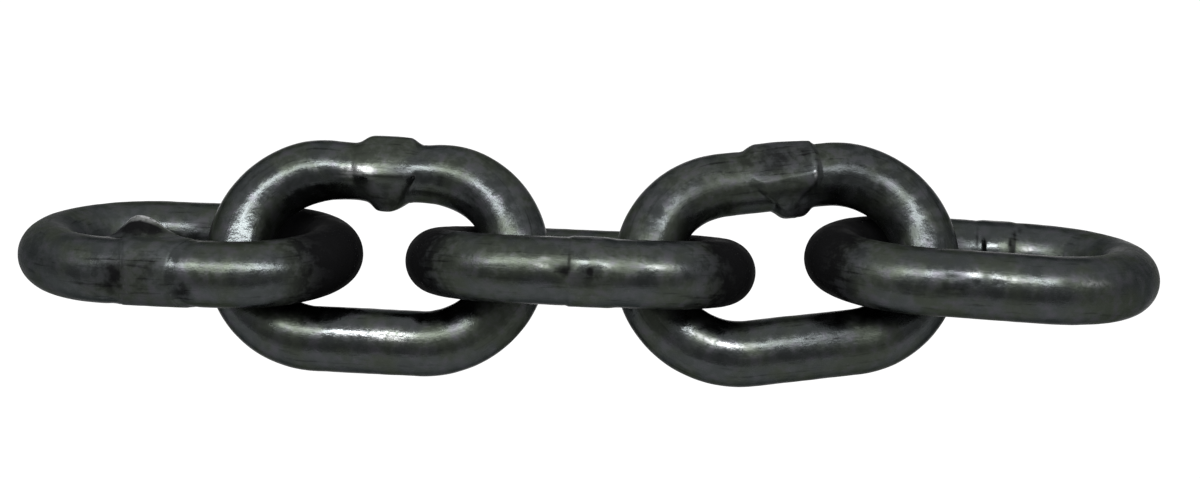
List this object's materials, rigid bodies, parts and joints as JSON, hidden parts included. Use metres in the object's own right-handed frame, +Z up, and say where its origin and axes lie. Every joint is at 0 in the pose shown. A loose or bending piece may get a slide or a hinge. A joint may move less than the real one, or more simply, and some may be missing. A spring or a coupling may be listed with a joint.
{
  "type": "length of welded round-link steel chain",
  "caption": "Short slack run of oval welded links of round steel bar, each hooked through the next and free to swing.",
  "frame": {"origin": "centre of the chain's box, at floor level", "axes": "+X along the run of links, +Z up from the floor"},
  "size_m": [0.174, 0.0384, 0.0271],
  "materials": {
    "blackened_steel": "dark furnace scale under a thin film of oil, softly glossy, with fine lines along the bar"
  },
  "bodies": {
    "link_1": {"link_1": "blackened_steel"},
    "link_2": {"link_2": "blackened_steel"},
    "link_3": {"link_3": "blackened_steel"},
    "link_4": {"link_4": "blackened_steel"},
    "link_5": {"link_5": "blackened_steel"}
  },
  "joints": [
    {"name": "swing_1_2", "type": "hinge", "parent": "link_1", "child": "link_2", "pos_m": [-0.03993, -0.00094, 0.01178], "axis": [-0.0192, -0.5501, 0.8348], "range_deg": [-60, 60]},
    {"name": "swing_2_3", "type": "hinge", "parent": "link_2", "child": "link_3", "pos_m": [-0.00977, -0.00128, 0.01225], "axis": [0.0193, 0.614, 0.7891], "range_deg": [-60, 60]},
    {"name": "swing_3_4", "type": "hinge", "parent": "link_3", "child": "link_4", "pos_m": [0.02172, -0.00177, 0.01186], "axis": [0.1026, -0.5184, 0.849], "range_deg": [-60, 60]},
    {"name": "swing_4_5", "type": "hinge", "parent": "link_4", "child": "link_5", "pos_m": [0.05202, 0.00274, 0.01079], "axis": [0.0357, 0.4987, 0.866], "range_deg": [-60, 60]}
  ]
}
